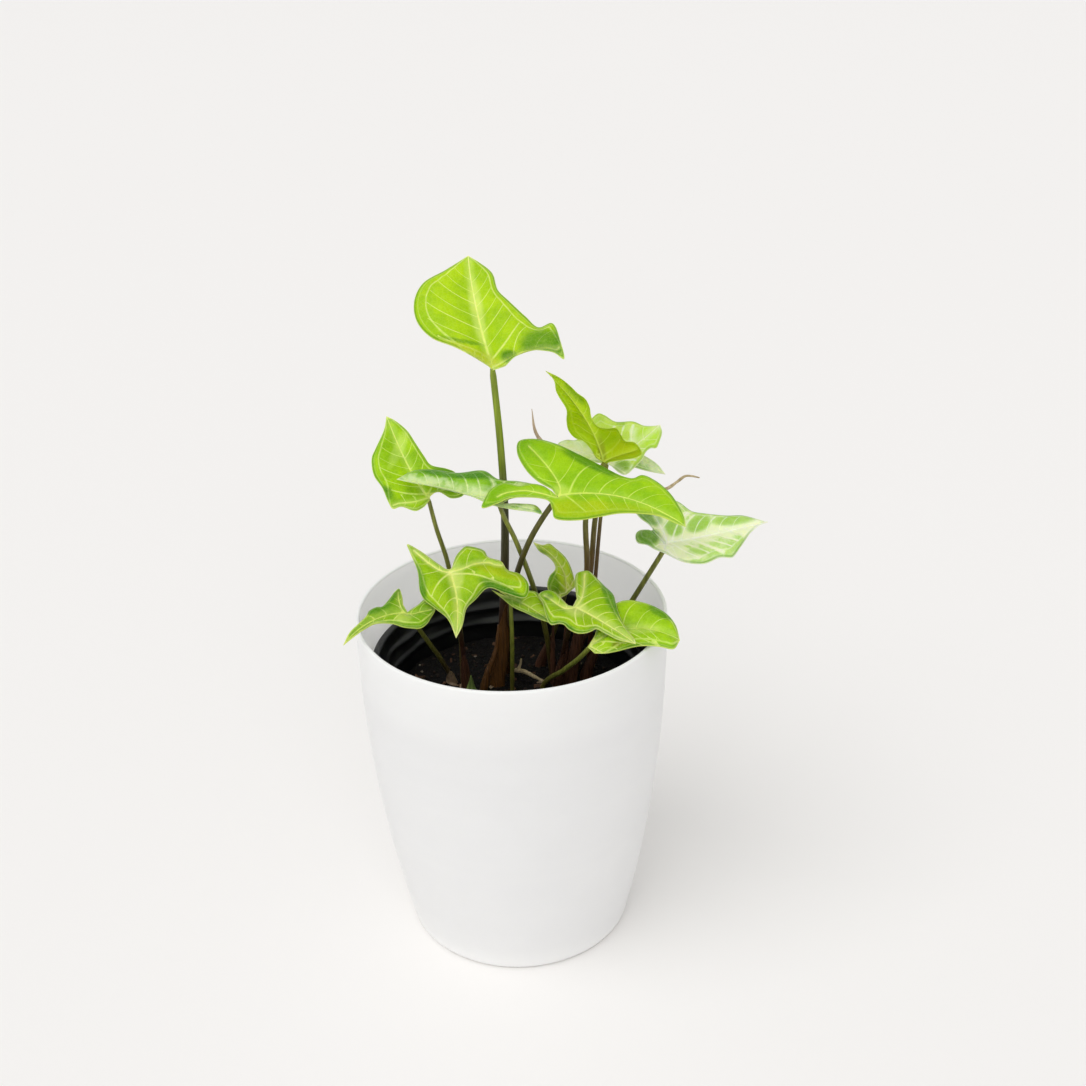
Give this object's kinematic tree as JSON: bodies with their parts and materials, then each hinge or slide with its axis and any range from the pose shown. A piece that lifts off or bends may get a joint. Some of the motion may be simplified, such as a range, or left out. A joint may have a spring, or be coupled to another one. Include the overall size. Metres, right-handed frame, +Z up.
{
  "type": "potted arrowhead plant",
  "caption": "Arrowhead plant with arrow-shaped leaves on long stalks, growing in a thin black nursery pot that stands in a plain white round cover pot.",
  "frame": {"origin": "middle of the cover pot's base, on the surface that it stands on", "axes": "+Z up along the pot's axis, -Y towards the front of the plant as pictured, +X to the right"},
  "size_m": [0.2009, 0.15, 0.3342],
  "materials": {
    "white_plastic": "satin",
    "black_plastic": "satin",
    "potting_mix": "rough, crumbly, moist",
    "green_leaf": "waxy, slightly translucent",
    "pale_leaf": "waxy, slightly translucent"
  },
  "bodies": {
    "root": {"cover_pot": "white_plastic", "nursery_pot": "black_plastic", "potting_mix": "potting_mix", "leaf_top": "green_leaf", "leaf_upper_left": "green_leaf", "leaf_pale_left": "pale_leaf", "leaf_centre": "green_leaf", "leaf_upright": "green_leaf", "leaf_pale_back": "pale_leaf", "leaf_pale_right": "pale_leaf", "leaf_over_rim_left": "green_leaf", "leaf_front_left": "green_leaf", "leaf_front_small": "green_leaf", "leaf_front_right": "green_leaf", "leaf_over_rim_right": "green_leaf", "leaf_inner_small": "green_leaf", "leaf_young": "pale_leaf"}
  },
  "joints": []
}
